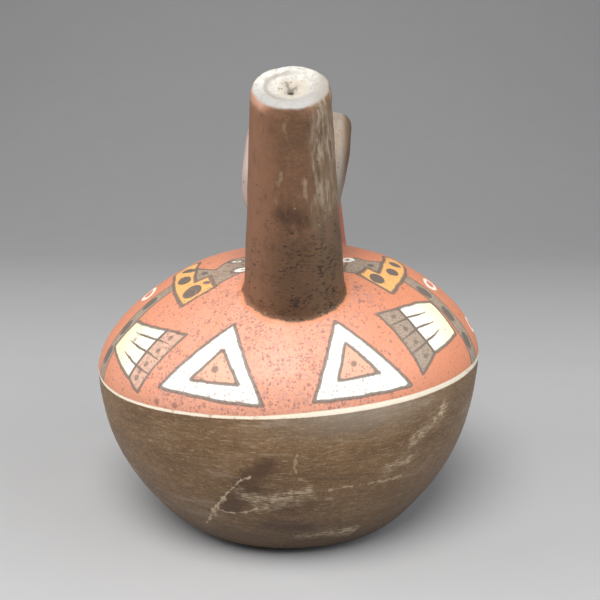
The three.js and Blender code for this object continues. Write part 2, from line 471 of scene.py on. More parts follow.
def smooth_joins(vessel, chosen):
    """Softens the creases where clay was pressed onto clay."""
    choose(vessel)
    bpy.ops.object.mode_set(mode="EDIT")
    bpy.ops.mesh.select_mode(type="VERT")
    bpy.ops.mesh.select_all(action="DESELECT")
    bpy.ops.object.mode_set(mode="OBJECT")
    vessel.data.vertices.foreach_set("select", chosen)
    bpy.ops.object.mode_set(mode="EDIT")
    bpy.ops.mesh.vertices_smooth(factor=JOIN_SOFTENING, repeat=JOIN_REPEATS)
    bpy.ops.mesh.select_all(action="DESELECT")
    bpy.ops.object.mode_set(mode="OBJECT")


# Where a point of the vessel lies, for joins, paint and wear

def spout_places(points):
    """Points in the spout's own frame, how far they are outside its skin and how far under its rim."""
    local = moved(points, spout_frame().inverted())
    out = np.hypot(local[:, 0], local[:, 1])
    share = np.clip(local[:, 2] / SPOUT_LENGTH, *SPOUT_CONE_ENDS)
    skin = SPOUT_FOOT_RADIUS + (SPOUT_RIM_RADIUS - SPOUT_FOOT_RADIUS) * share
    taper = math.atan2(SPOUT_FOOT_RADIUS - SPOUT_RIM_RADIUS, SPOUT_LENGTH)
    under_rim = SPOUT_LENGTH + RIM_SLANT * local[:, 1] - local[:, 2]
    return local, (out - skin) * math.cos(taper), under_rim


def strap_places(points):
    """Each point's share along the strap, height over its middle, distance from that line and place aside."""
    local = moved(points, handle_plane().inverted())
    middle, along = arch_points(ARCH_STATIONS)
    gap = np.linalg.norm(local[:, None, 1:] - middle[None], axis=2)
    nearest = gap.argmin(1)
    offset = local[:, 1:] - middle[nearest]
    direction = along[nearest]
    over = -direction[:, 1] * offset[:, 0] + direction[:, 0] * offset[:, 1]
    return nearest / (ARCH_STATIONS - 1), over, gap.min(1), local[:, 0]


def body_places(points):
    """Azimuth from the front in degrees (right is plus), way up from the belly and distance from the axis."""
    even = unsettle(points)
    out = np.hypot(even[:, 0], even[:, 1])
    azimuth = np.degrees(np.arctan2(even[:, 0], -even[:, 1]))
    lift = even[:, 2] + crown_flattening(out) - BELLY_HEIGHT
    rising = np.clip(lift / DOME_RISE, 0, 2) ** (DOME_POWER / 2)
    angle = np.arctan2(rising, (out / BODY_RADIUS) ** (DOME_POWER / 2))
    angles, dome_out, way = dome_curve()
    up = np.where(lift >= 0, np.interp(angle, angles, way), lift)
    return azimuth, up, np.where(up > 0, np.interp(up, way, dome_out), out)


def height_over_dome(points):
    even = unsettle(points)
    out = np.hypot(even[:, 0], even[:, 1])
    inward = np.clip(1 - (np.clip(out, 0, BODY_RADIUS) / BODY_RADIUS) ** DOME_POWER, 0, 1)
    dome = BELLY_HEIGHT + DOME_RISE * inward ** (1 / DOME_POWER)
    return even[:, 2] - dome + crown_flattening(out)


# Distances on the painted skin, in millimetres

def edge_distance(points, start, end):
    """Distance to a straight edge between two points."""
    edge = end - start
    share = np.clip((points - start) @ edge / (edge @ edge), 0, 1)
    return np.linalg.norm(points - start - share[:, None] * edge, axis=1)


def patch_distance(points, corners):
    """Signed distance to a closed outline, less than zero inside it."""
    corners = np.array(corners, float)
    inside = np.zeros(len(points), bool)
    nearest = np.full(len(points), np.inf)
    for start, end in zip(corners, np.roll(corners, -1, axis=0)):
        nearest = np.minimum(nearest, edge_distance(points, start, end))
        spans = (start[1] <= points[:, 1]) != (end[1] <= points[:, 1])
        run, rise = end - start
        inside ^= spans & (points[:, 0] < start[0] + (points[:, 1] - start[1]) / (rise or TINY) * run)
    return np.where(inside, -nearest, nearest)


def stroke_distance(points, route, half_width):
    """Signed distance to a brush stroke along a route of points."""
    route = np.array(route, float)
    gaps = [edge_distance(points, start, end) for start, end in zip(route, route[1:])]
    return np.min(gaps, axis=0) - half_width


def oval_distance(points, centre, half_length, half_width, turn):
    """Signed distance, near enough, to an oval spot turned by an angle in degrees."""
    c, s = math.cos(math.radians(turn)), math.sin(math.radians(turn))
    away = points - np.array(centre, float)
    long = (away[:, 0] * c + away[:, 1] * s) / half_length
    wide = (away[:, 1] * c - away[:, 0] * s) / half_width
    return (np.hypot(long, wide) - 1) * half_width


# The painted figures: places are (across, up) in mm about a named azimuth, up from the belly line

TRIANGLES = [
    {"azimuth": -20, "dot": (0, 15),
     "outer": [(1.5, 32.5), (-20, 7), (18, 3.5)], "inner": [(1, 22), (-8, 11), (9.5, 10)]},
    {"azimuth": 18, "dot": (0, 15),
     "outer": [(-2, 32), (-15.5, 4), (20, 4)], "inner": [(-1, 23), (-6.5, 10), (8.5, 10.5)]},
    {"azimuth": 160, "dot": (0, 14),
     "outer": [(0, 31), (-18, 5), (18, 4)], "inner": [(0, 21), (-8, 11), (8, 10)]},
    {"azimuth": 198, "dot": (0, 14),
     "outer": [(0, 31), (-17, 4), (18, 5)], "inner": [(0, 21), (-8, 10), (8, 11)]},
]
FANS = [
    {"azimuth": -50,
     "white": [(-14, 26), (7.5, 27), (2, 7), (-19, 14)],
     "squares": [(7.5, 27), (17.5, 26.5), (9, 3.5), (2, 7)],
     "lines": [[(-9, 22.5), (6.5, 22.5), (17, 21.5)],
               [(-8.5, 19), (7, 17), (16, 15)],
               [(-9, 15), (5, 11.5), (12.5, 10)]]},
    {"azimuth": 48,
     "white": [(-6, 32), (5, 32), (14, 29.5), (15.5, 14.5), (4.5, 13), (-3.5, 12), (-5.5, 21)],
     "squares": [(-6, 32), (-16, 32), (-13, 6.5), (-3.5, 12), (-5.5, 21)],
     "lines": [[(-15.5, 26), (-5, 27.5), (6, 27)],
               [(-15, 19.5), (-5, 22.5), (6, 22.5)],
               [(-14.5, 14), (-5, 16.5), (6.5, 19)]]},
]
FAN_REACH = 30
FAN_MIDDLE = 18
SQUARE_ROWS = 4

# Spots are across, up, half length, half width and turn in degrees
COLLARS = [
    {"azimuth": -62,
     "outline": [(15.5, 37.5), (5.5, 41.5), (-1.5, 44), (-11, 46.5), (-20, 47), (-24, 52), (-19, 57),
                 (-13.5, 58), (-3, 54.5), (6, 50), (8, 55), (18, 49.5), (17.5, 45)],
     "spots": [(-11, 53, 6.0, 1.6, 25), (-2.5, 49, 4.6, 2.6, 0), (11, 45, 4.5, 3.4, -40),
               (11.5, 51, 2.0, 1.0, 0)]},
    {"azimuth": 64,
     "outline": [(16, 54.5), (19.5, 51.5), (22, 48), (18, 45.5), (11.5, 45), (-0.5, 43), (-8.5, 41.5),
                 (-16, 39), (-16.5, 44), (-16.5, 48.5), (-16, 53), (-8, 55), (-7.5, 50.5), (2, 53.5)],
     "spots": [(10.5, 49.5, 3.6, 2.1, -26), (0, 48, 3.5, 2.5, 0), (-12, 48, 3.9, 2.6, 41)]},
]

# Eyes are across, up, half length and half width
HEADS = [
    {"azimuth": -62,
     "outline": [(-6.5, 56.5), (5.5, 59), (3, 63.5), (0.5, 69), (2, 73), (14, 72), (20, 64), (18, 58.5),
                 (17.5, 49.5), (8, 55), (6, 50), (-3, 54.5)],
     "eyes": [(5.5, 68, 2.8, 1.7), (16, 62, 3.4, 2.8)], "spot": (3, 55.5)},
    {"azimuth": 64,
     "outline": [(-18.5, 56.5), (-8.5, 63), (-4.5, 64.5), (-0.5, 62.5), (-1.5, 60.5), (-0.5, 58.5),
                 (3.5, 54.5), (2, 53.5), (-7.5, 50.5), (-8, 55), (-16, 53)],
     "eyes": [], "spot": (-4, 55.5)},
]
EYE_TURN = 20

# Rings are azimuth, across, up, half across and half up
RINGS = [
    (64, -6.5, 64, 2.4, 1.5), (-86, 1.5, 35, 5.6, 2.9), (82, -0.5, 33.5, 5.8, 2.5), (82, -1.5, 11, 4.0, 2.8),
]
SIDE_BANDS = [{"azimuth": -67, "half": 3.6}, {"azimuth": 66, "half": 4.0}]
SIDE_BAND_LOW, SIDE_BAND_HIGH = -2, 46
SIDE_BAND_SPOTS = (10, 22, 34)
SIDE_BAND_SPOT_ASIDE = -0.8

# Half length, half width and turn of the plain spots and dots
SIDE_BAND_SPOT = (3.6, 2.6, 90)
HEAD_SPOT = (1.9, 1.2, 0)
HEART_DOT = (1.3, 1.2, 0)
SQUARE_DOT = (1.1, 1.0, 0)
PUPIL = (0.9, 0.8, 0)

# Half width of the outlines, and distances that stand for far away
OUTLINES = {"grey": 0.42, "orange": 0.75, "white": 0.62, "square": 0.55, "heart": 0.55, "ring": 0.7}
FAR = 50.0
FAR_ASIDE = 500.0


def chart(azimuth, up, out, middle):
    """The skin near one azimuth laid flat: millimetres across and up."""
    turn = (azimuth - middle + 180) % 360 - 180
    across = np.radians(turn) * out
    return np.stack([np.where(np.abs(turn) < 90, across, FAR_ASIDE), up], 1)


def fan_lines(flat, lines):
    """Offset from three lines one above the other, alternating in sign, and distance past their ends."""
    across, up = flat.T
    high, middle, low = [np.interp(across, *np.array(line, float).T) for line in lines]
    offset = np.where(up > (middle + low) / 2, middle - up, up - low)
    offset = np.where(up > (high + middle) / 2, up - high, offset)
    start = max(line[0][0] for line in lines)
    end = min(line[-1][0] for line in lines)
    return offset, np.maximum(start - across, across - end)


def paint_layers(azimuth, up, out):
    """One signed distance per kind of paint, in mm."""
    names = ("white", "heart", "orange", "grey", "square", "spot", "ring", "line", "line_end", "dot")
    layers = {name: np.full(len(up), FAR) for name in names}

    def lay(name, distance):
        layers[name] = np.minimum(layers[name], distance)

    for triangle in TRIANGLES:
        flat = chart(azimuth, up, out, triangle["azimuth"])
        lay("white", patch_distance(flat, triangle["outer"]))
        lay("heart", patch_distance(flat, triangle["inner"]))
        lay("dot", oval_distance(flat, triangle["dot"], *HEART_DOT))
    for fan in FANS:
        flat = chart(azimuth, up, out, fan["azimuth"])
        lay("white", patch_distance(flat, fan["white"]))
        lay("square", patch_distance(flat, fan["squares"]))
        offset, past = fan_lines(flat, fan["lines"])
        here = np.abs(flat[:, 0]) < FAN_REACH
        layers["line"] = np.where(here, offset, layers["line"])
        here = here & (np.abs(flat[:, 1] - FAN_MIDDLE) < FAN_MIDDLE)
        layers["line_end"] = np.where(here, past, layers["line_end"])
        near_top, far_top, far_low, near_low = fan["squares"][:4]
        for row in range(SQUARE_ROWS):
            share = (row + 0.5) / SQUARE_ROWS
            centre = between(between(near_top, near_low, share), between(far_top, far_low, share), 0.5)
            lay("dot", oval_distance(flat, centre, *SQUARE_DOT))
    for collar in COLLARS:
        flat = chart(azimuth, up, out, collar["azimuth"])
        lay("orange", patch_distance(flat, collar["outline"]))
        for across, high, *spot in collar["spots"]:
            lay("spot", oval_distance(flat, (across, high), *spot))
    for head in HEADS:
        flat = chart(azimuth, up, out, head["azimuth"])
        lay("grey", patch_distance(flat, head["outline"]))
        for across, high, *halves in head["eyes"]:
            lay("white", oval_distance(flat, (across, high), *halves, EYE_TURN))
            lay("dot", oval_distance(flat, (across, high), *PUPIL))
        lay("spot", oval_distance(flat, head["spot"], *HEAD_SPOT))
    for band in SIDE_BANDS:
        flat = chart(azimuth, up, out, band["azimuth"])
        half = band["half"]
        low_corners = [(-half, SIDE_BAND_LOW), (half, SIDE_BAND_LOW)]
        top_corners = [(half, SIDE_BAND_HIGH), (-half, SIDE_BAND_HIGH)]
        lay("grey", patch_distance(flat, low_corners + top_corners))
        for high in SIDE_BAND_SPOTS:
            lay("spot", oval_distance(flat, (SIDE_BAND_SPOT_ASIDE, high), *SIDE_BAND_SPOT))
    for middle, across, high, half_across, half_up in RINGS:
        flat = chart(azimuth, up, out, middle)
        lay("ring", oval_distance(flat, (across, high), half_across, half_up, 0))
    return layers


# Wear on the bowl: places are azimuth in degrees and height in mm over the ground

SCRATCHES = [
    {"route": [(-29.5, 16), (-26, 21), (-22.5, 26.5), (-19, 32), (-13.5, 40), (-10.5, 42)], "strength": 0.9},
    {"route": [(-24, 22), (-21, 28), (-18.5, 31)], "strength": 0.55},
    {"route": [(-22.5, 26.5), (-21, 25), (-18.5, 24.5), (-14, 25.5), (-9.5, 28)], "strength": 0.9},
    {"route": [(2, 50), (1.4, 46), (2.6, 41), (5, 40)], "strength": 0.35},
    {"route": [(11, 35.5), (16, 36), (28.5, 35), (33.5, 34.5)], "strength": 0.5},
    {"route": [(6, 33), (12, 31.5)], "strength": 0.4},
]
SCUFFS = [
    {"route": [(-13, 34), (-6, 32), (4, 35.5)], "half": 2.6},
    {"route": [(-9, 28), (2, 31)], "half": 1.8},
    {"route": [(35, 48), (47.5, 57)], "half": 2.2},
    {"route": [(15, 13), (22, 12)], "half": 3.4},
    {"route": [(4, 12), (12, 14)], "half": 2.0},
    {"route": [(28, 40), (36, 42)], "half": 1.8},
]
STAINS = [
    {"route": [(-2.5, 28), (1, 28)], "half": 1.5},
    {"route": [(-18, 28), (-10, 37)], "half": 3.5},
    {"route": [(-12, 40), (-6, 46)], "half": 3.0},
    {"route": [(-6, 20), (4, 18)], "half": 3.0},
]


def on_bowl(azimuth, height):
    """The point of the bowl's skin at an azimuth and height, in mm."""
    out = BODY_RADIUS * (1 - ((BELLY_HEIGHT - height) / BOWL_DEPTH) ** BOWL_POWER) ** (1 / BOWL_POWER)
    turn = math.radians(azimuth)
    return settle(np.array([[out * math.sin(turn), -out * math.cos(turn), height]]))[0]


def bowl_marks(points, marks):
    """Signed distance to the nearest of the marks."""
    distance = np.full(len(points), FAR)
    for mark in marks:
        route = [on_bowl(*place) for place in mark["route"]]
        distance = np.minimum(distance, stroke_distance(points, route, mark["half"]))
    return distance


# What each point of the skin keeps for its materials: places are azimuths in degrees and ways up in mm,
# with their reaches. The strap's run is the length in mm that stands for all of it
STRAP_RUN = 150
# The front hill: where the red slip is paled as a painted highlight, and where specks crowd
FRONT_MIDDLE, FRONT_LEFT, FRONT_RIGHT = 1, 54, 26
SPECKS_RIGHT = {"azimuth": (27, 16), "up": (40, 12), "share": 1.0}
SPECKS_LEFT = {"azimuth": (-40, 14), "up": (43, 10), "share": 0.7}
THIN_MIDDLE, THIN_REACH, THIN_SHARE = -50, 40, 0.55
# Where the painted sheen sits on the bowl, under the band
SHEEN_MIDDLE, SHEEN_REACH = 20, 20
BAND_LOW, BAND_LIFT_LEFT = -0.7, 0.9
BAND_HEIGHT, BAND_GROWTH_RIGHT = 1.0, 0.75


def keep_attribute(vessel, name, values):
    layer = vessel.data.attributes.new(name, "FLOAT", "POINT")
    layer.data.foreach_set("value", np.ascontiguousarray(values, np.float32))


def keep_vectors(vessel, name, vectors):
    layer = vessel.data.attributes.new(name, "FLOAT_VECTOR", "POINT")
    layer.data.foreach_set("vector", np.ascontiguousarray(vectors, np.float32).ravel())


def belly_band_edges(azimuth):
    """Lower edge and height of the white band: raised on the left, taller on the right."""
    left = smoothstep(50, 75, -azimuth) * smoothstep(-150, -105, azimuth)
    right = smoothstep(-12, 12, azimuth) * (1 - smoothstep(120, 150, azimuth))
    return BAND_LOW + BAND_LIFT_LEFT * left, BAND_HEIGHT + BAND_GROWTH_RIGHT * right


def measure_skin(vessel):
    """Stores on every point of the vessel what its paint and wear depend on."""
    points = points_of(vessel)
    azimuth, up, out = body_places(points)
    sideways = np.abs(azimuth)
    band_low, band_height = belly_band_edges(azimuth)
    by_spout = [
        side["share"] * hill(azimuth, *side["azimuth"]) * hill(up, *side["up"])
        for side in (SPECKS_RIGHT, SPECKS_LEFT)
    ]
    local, beyond_spout, under_rim = spout_places(points)
    along, over, _, aside = strap_places(points)
    measures = {
        **paint_layers(azimuth, up, out),
        "up": up,
        "band_low": up - band_low,
        "band_top": up - band_low - band_height,
        "front": hill(azimuth, FRONT_MIDDLE, np.where(azimuth < FRONT_MIDDLE, FRONT_LEFT, FRONT_RIGHT)),
        "by_spout": np.maximum(*by_spout),
        "creamy": smoothstep(38, 66, sideways) * (1 - smoothstep(90, 130, sideways)),
        "thin_squares": THIN_SHARE * (np.abs(azimuth - THIN_MIDDLE) < THIN_REACH),
        "scuff": bowl_marks(points, SCUFFS),
        "stain": bowl_marks(points, STAINS),
        "painted_sheen": hill(azimuth, SHEEN_MIDDLE, SHEEN_REACH) * smoothstep(-13, -1, up),
        "beyond_spout": beyond_spout,
        "under_rim": under_rim,
    }
    for name, values in measures.items():
        keep_attribute(vessel, name, values)
    keep_vectors(vessel, "spout_place", local)
    keep_vectors(vessel, "strap_place", np.stack([aside, along * STRAP_RUN, over], 1))


def unevenness(point, waves):
    return sum(noise.noise(Vector(point) / size + Vector(start)) * height for size, height, start in waves)


def roughen(vessel):
    """Slow unevenness of hand-built walls and the worn, chipped rim. The foot stays flat."""
    points = points_of(vessel)
    normals = np.empty(len(points) * 3)
    vessel.data.vertices.foreach_get("normal", normals)
    normals = normals.reshape(-1, 3)
    _, _, under_rim = spout_places(points)
    near_rim = 1 - smoothstep(*RIM_FADE, under_rim)
    wall = np.array([unevenness(point, WALL_WAVES) for point in points])
    at_rim = np.flatnonzero(near_rim > 0)
    rim = np.zeros(len(points))
    rim[at_rim] = [unevenness(point, RIM_WAVES) for point in points[at_rim]]
    lift = (wall * (1 - near_rim) + rim * near_rim) * smoothstep(*FOOT_FADE, points[:, 2])
    place_points(vessel, points + normals * lift[:, None])


def join_points(points):
    """The points near the spout's foot, the strap's ends and the rim, where the clay is softened."""
    _, beyond_spout, under_rim = spout_places(points)
    _, _, from_arch, aside = strap_places(points)
    over_dome = height_over_dome(points)
    outside = over_dome > DOME_MARGIN
    by_spout = np.abs(beyond_spout)
    by_strap = np.abs(aside) < STRAP_WIDTH / 2 + STRAP_JOIN_MARGIN
    by_strap &= from_arch < STRAP_THICKNESS / 2 + STRAP_JOIN_MARGIN
    foot_join = outside & (by_spout < FOOT_JOIN_REACH) & (over_dome < FOOT_JOIN_REACH)
    strap_join = outside & by_strap & ((by_spout < STRAP_JOIN_REACH) | (over_dome < STRAP_JOIN_REACH))
    rim = (under_rim < RIM_JOIN_REACH) & (under_rim > RIM_JOIN_TOP)
    return foot_join | (strap_join & (under_rim > STRAP_JOIN_UNDER_RIM)) | rim


def build_vessel(materials):
    """Joins body, spout and strap, hollows them out, softens the joins and brings the vessel to metres."""
    body = spun("vessel_body", body_profile(0, *BODY_RINGS), BODY_SIDES)
    hollow = spun("hollow", body_profile(WALL, *HOLLOW_RINGS), HOLLOW_SIDES)
    for form in (body, hollow):
        place_points(form, settle(points_of(form)))
    spout = spun("spout", spout_profile(), SPOUT_SIDES)
    bore = spun("bore", bore_profile(), SPOUT_SIDES)
    for form in (spout, bore):
        place_points(form, moved(slant_rim(points_of(form)), spout_frame()))
    strap = build_strap()
    outer = ((body, BODY_SLOT), (spout, SPOUT_SLOT), (strap, STRAP_SLOT))
    for form, slot in (*outer, (hollow, INSIDE_SLOT), (bore, INSIDE_SLOT)):
        give_slots(form, materials, slot)
    vessel = joined(body, spout, "UNION")
    vessel = joined(vessel, strap, "UNION")
    vessel = joined(vessel, hollow, "DIFFERENCE")
    vessel = joined(vessel, bore, "DIFFERENCE")
    smooth_joins(vessel, join_points(points_of(vessel)))
    vessel.name = "vessel_skin"
    vessel.data.name = "vessel_skin"
    measure_skin(vessel)
    roughen(vessel)
    vessel.data.transform(Matrix.Scale(MM, 4))
    choose(vessel)
    bpy.ops.object.shade_smooth()
    return vessel


# Shader building blocks

BUMP_STRENGTH = 0.6


class Mixer:
    """Adds nodes to one material and joins them."""

    def __init__(self, name):
        self.material = bpy.data.materials.new(name)
        self.material.use_nodes = True
        self.tree = self.material.node_tree
        self.tree.nodes.clear()
        coordinates = self.tree.nodes.new("ShaderNodeTexCoord")
        metres_to_mm = self.tree.nodes.new("ShaderNodeVectorMath")
        metres_to_mm.operation = "SCALE"
        metres_to_mm.inputs["Scale"].default_value = 1 / MM
        self.tree.links.new(coordinates.outputs["Object"], metres_to_mm.inputs[0])
        self.place = metres_to_mm.outputs[0]

    def feed(self, socket, value):
        if isinstance(value, bpy.types.NodeSocket):
            self.tree.links.new(value, socket)
        elif isinstance(value, tuple) and len(value) == 3 and socket.type == "RGBA":
            socket.default_value = (*value, 1)
        else:
            socket.default_value = value

    def attribute(self, name, output="Fac"):
        node = self.tree.nodes.new("ShaderNodeAttribute")
        node.attribute_name = name
        return node.outputs[output]

    def parts(self, vector):
        node = self.tree.nodes.new("ShaderNodeSeparateXYZ")
        self.feed(node.inputs[0], vector)
        return node.outputs

    def vector(self, operation, a, b, output=0):
        node = self.tree.nodes.new("ShaderNodeVectorMath")
        node.operation = operation
        self.feed(node.inputs[0], a)
        if operation == "SCALE":
            self.feed(node.inputs["Scale"], b)
        else:
            self.feed(node.inputs[1], b)
        return node.outputs[output]

    def line_distance(self, place, route):
        """Distance in mm from a place to a line through points of the skin."""
        nearest = None
        for start, end in zip(route, route[1:]):
            edge = Vector(end) - Vector(start)
            away = self.vector("SUBTRACT", place, tuple(start))
            along = self.vector("DOT_PRODUCT", away, tuple(edge), "Value")
            share = self.times(along, 1 / edge.length_squared)
            share = self.math("MINIMUM", self.math("MAXIMUM", share, 0.0), 1.0)
            foot = self.vector("SCALE", tuple(edge), share)
            gap = self.vector("DISTANCE", away, foot, "Value")
            nearest = gap if nearest is None else self.math("MINIMUM", nearest, gap)
        return nearest

    def math(self, operation, a, b=0.0, c=0.0):
        node = self.tree.nodes.new("ShaderNodeMath")
        node.operation = operation
        for socket, value in zip(node.inputs, (a, b, c)):
            self.feed(socket, value)
        return node.outputs[0]

    def times(self, a, b):
        return self.math("MULTIPLY", a, b)

    def plus(self, a, b):
        return self.math("ADD", a, b)

    def fade(self, value, low, high, start=0.0, end=1.0):
        """Smoothly from start, at low, to end, at high."""
        node = self.tree.nodes.new("ShaderNodeMapRange")
        node.interpolation_type = "SMOOTHSTEP"
        for socket, number in zip(node.inputs, (value, low, high, start, end)):
            self.feed(socket, number)
        return node.outputs[0]

    def mix(self, share, a, b):
        """From colour a, at a share of 0, to colour b, at 1."""
        node = self.tree.nodes.new("ShaderNodeMix")
        node.data_type = "RGBA"
        self.feed(node.inputs["Factor"], share)
        self.feed(node.inputs[6], a)
        self.feed(node.inputs[7], b)
        return node.outputs[2]

    def stretch(self, vector, scale):
        node = self.tree.nodes.new("ShaderNodeMapping")
        self.feed(node.inputs["Vector"], vector)
        node.inputs["Scale"].default_value = scale
        return node.outputs[0]

    def grain(self, size, detail=3.0, roughness=0.55, vector=None):
        """Soft noise from 0 to 1 with features of about the given size in mm."""
        node = self.tree.nodes.new("ShaderNodeTexNoise")
        self.feed(node.inputs["Vector"], vector or self.place)
        node.inputs["Scale"].default_value = 1 / size
        node.inputs["Detail"].default_value = detail
        node.inputs["Roughness"].default_value = roughness
        return node.outputs["Fac"]

    def sway(self, reach, size, detail=3.0, roughness=0.55):
        """Soft noise about zero, for edges that wander by the given reach in mm."""
        return self.math("MULTIPLY_ADD", self.grain(size, detail, roughness), 2 * reach, -reach)

    def shaken(self, place, size, reach):
        """A place pushed about by noise of the given size, by up to half the reach on each axis."""
        node = self.tree.nodes.new("ShaderNodeTexNoise")
        self.feed(node.inputs["Vector"], self.place)
        node.inputs["Scale"].default_value = 1 / size
        push = self.vector("SUBTRACT", node.outputs["Color"], (0.5, 0.5, 0.5))
        return self.vector("ADD", place, self.vector("SCALE", push, reach))

    def inside(self, distance, edge=0.0, soften=0.16):
        """1 where a signed distance is less than the edge, with a soft border."""
        return self.fade(distance, edge - soften, edge + soften, 1, 0)

    def outline(self, distance, half, strength=0.9):
        """A line of the given half width along the edge of a signed distance."""
        return self.times(self.inside(self.math("ABSOLUTE", distance), half, 0.24), strength)

    def specks(self, spacing, radius, amount, vector=None):
        """Round specks: one may sit in each cell of the given spacing, where amount (0 to 1) allows it."""
        node = self.tree.nodes.new("ShaderNodeTexVoronoi")
        self.feed(node.inputs["Vector"], vector or self.place)
        node.inputs["Scale"].default_value = 1 / spacing
        split = self.tree.nodes.new("ShaderNodeSeparateColor")
        self.tree.links.new(node.outputs["Color"], split.inputs[0])
        size = self.times(split.outputs[1], radius / spacing)
        near = self.fade(self.math("SUBTRACT", node.outputs["Distance"], size), -0.12, 0.10, 1, 0)
        return self.times(near, self.math("LESS_THAN", split.outputs[0], amount))

    def finish(self, colour, roughness, bump, bump_depth, specular):
        """The finished material, with its bump depth in mm."""
        shader = self.tree.nodes.new("ShaderNodeBsdfPrincipled")
        output = self.tree.nodes.new("ShaderNodeOutputMaterial")
        raise_node = self.tree.nodes.new("ShaderNodeBump")
        raise_node.inputs["Strength"].default_value = BUMP_STRENGTH
        raise_node.inputs["Distance"].default_value = bump_depth * MM
        self.feed(raise_node.inputs["Height"], bump)
        self.feed(shader.inputs["Base Color"], colour)
        self.feed(shader.inputs["Roughness"], roughness)
        shader.inputs["Specular IOR Level"].default_value = specular
        self.tree.links.new(raise_node.outputs["Normal"], shader.inputs["Normal"])
        self.tree.links.new(shader.outputs["BSDF"], output.inputs["Surface"])
        return self.material


# Slip and clay colours
RED_DEEP = (0.465, 0.182, 0.102)
RED_FRONT_HIGHLIGHT = (0.50, 0.245, 0.170)
RED_HEART = (0.53, 0.31, 0.225)
RED_PAINTED_SHADE = (0.30, 0.140, 0.105)
RED_SHADE = (0.33, 0.115, 0.075)
RED_RICH = (0.46, 0.165, 0.075)
WHITE_SLIP = (0.655, 0.645, 0.590)
CREAM_SLIP = (0.63, 0.56, 0.36)
BAND_SLIP = (0.64, 0.590, 0.480)
ORANGE_SLIP = (0.58, 0.325, 0.115)
GREY_SLIP = (0.27, 0.210, 0.160)
DARK_PAINT = (0.120, 0.095, 0.080)
BROWN_SLIP = (0.158, 0.092, 0.044)
BROWN_DARK = (0.080, 0.045, 0.023)
BROWN_PAINTED_SHADE = (0.066, 0.036, 0.016)
BROWN_RED = (0.200, 0.096, 0.054)
BROWN_WARM = (0.142, 0.074, 0.041)
BROWN_OLIVE = (0.155, 0.105, 0.064)
BROWN_BLOTCH = (0.052, 0.025, 0.015)
BROWN_PAINTED_SHEEN = (0.265, 0.230, 0.190)
TAN_WORN = (0.33, 0.250, 0.165)
TAN_GREY = (0.31, 0.250, 0.190)
TAN_PALE = (0.42, 0.330, 0.225)
STRAP_GREY = (0.200, 0.178, 0.162)
STRAP_EDGE_HIGHLIGHT = (0.30, 0.228, 0.200)
BARE_CLAY = (0.36, 0.190, 0.125)
CRUST = (0.425, 0.415, 0.390)
CRUST_FRONT_SHADE = (0.265, 0.260, 0.252)
CRUST_SHADE = (0.22, 0.198, 0.172)
CRUST_DARK = (0.07, 0.055, 0.045)
DISH_TAN = (0.34, 0.305, 0.260)
CLAY_INSIDE = (0.16, 0.10, 0.07)
CLAY_INSIDE_PALE = (0.24, 0.15, 0.10)
SPECK = (0.130, 0.070, 0.065)
SPECK_SOFT = (0.33, 0.180, 0.155)
SPECK_BLACK = (0.028, 0.018, 0.013)

# Cracks in the crusted mouth, in the spout's own frame
CRACK = [(0.4, -2.6, 0), (-0.6, -0.4, 0), (-0.2, 1.0, 0), (-1.4, 3.4, 0)]
CRACK_BRANCH = [(-0.3, 0.6, 0), (1.4, 1.8, 0)]

# Short worn runs on the front of the spout and a dark blotch there, in its own frame
FRONT_RUNS = [
    [(-2.4, -13, 47), (-3.8, -13, 43), (-4.0, -13, 38)], [(-3.6, -13, 37.5), (-1.0, -13, 36)],
    [(-1.4, -12, 62), (-0.4, -12, 57)], [(4.0, -13, 45), (4.8, -13, 38)],
]
BLOTCH = [(-1.5, -15, 34), (4.0, -15, 31.5)]


def rim_crust(paint, aside, forth):
    """Pale crust on the rim: white at the back, with painted shade making it cool grey in front and darker
    tan at the right, and mottled.
    """
    # Painted shade: cool grey towards the front and darker at the right, away from the light
    crust = paint.mix(paint.fade(forth, 5, -7, 0, 1.0), CRUST, CRUST_FRONT_SHADE)
    crust = paint.mix(paint.fade(aside, 5.0, 10.5, 0, 0.9), crust, CRUST_SHADE)
    crust = paint.mix(paint.fade(paint.grain(5.0, 4, 0.6), 0.46, 0.66, 0, 0.45), crust, CRUST_SHADE)
    return paint.mix(paint.fade(paint.grain(1.5, 5, 0.7), 0.46, 0.64, 0, 0.55), crust, CRUST_SHADE)


def burnished(paint, streak_space, base, darker, lighter):
    """Burnished slip: slow clouds under fine wiping streaks and pores."""
    fine = paint.grain(0.45, 3, 0.65, streak_space)
    broad = paint.grain(2.4, 4, 0.65, streak_space)
    clouds = paint.grain(20, 4, 0.6)
    pores = paint.grain(0.8, 3, 0.7)
    colour = paint.mix(paint.fade(clouds, 0.38, 0.66, 0, 0.5), base, darker)
    colour = paint.mix(paint.fade(broad, 0.50, 0.74, 0, 0.25), colour, lighter)
    colour = paint.mix(paint.fade(fine, 0.54, 0.72, 0, 0.6), colour, lighter)
    colour = paint.mix(paint.fade(fine, 0.50, 0.30, 0, 0.6), colour, darker)
    colour = paint.mix(paint.fade(pores, 0.54, 0.68, 0, 0.75), colour, darker)
    colour = paint.mix(paint.fade(pores, 0.42, 0.28, 0, 0.5), colour, lighter)
    return colour, fine


def red_slip(paint, up, front, fine):
    """Red slip of the dome: paler at the front as a painted highlight, mottled, and duller at the top as
    painted shade.
    """
    clouds = paint.grain(10, 4, 0.6)
    # Painted highlight: the red is paler where the front faces the light
    front_highlight = paint.times(front, paint.fade(clouds, 0.3, 0.62, 0.6, 1.0))
    red = paint.mix(front_highlight, RED_DEEP, RED_FRONT_HIGHLIGHT)
    red = paint.mix(paint.fade(fine, 0.46, 0.75, 0, 0.5), red, RED_SHADE)
    # Painted shade: the red is duller towards the top of the dome
    return paint.mix(paint.fade(up, 58, 80, 0, 0.6), red, RED_PAINTED_SHADE)


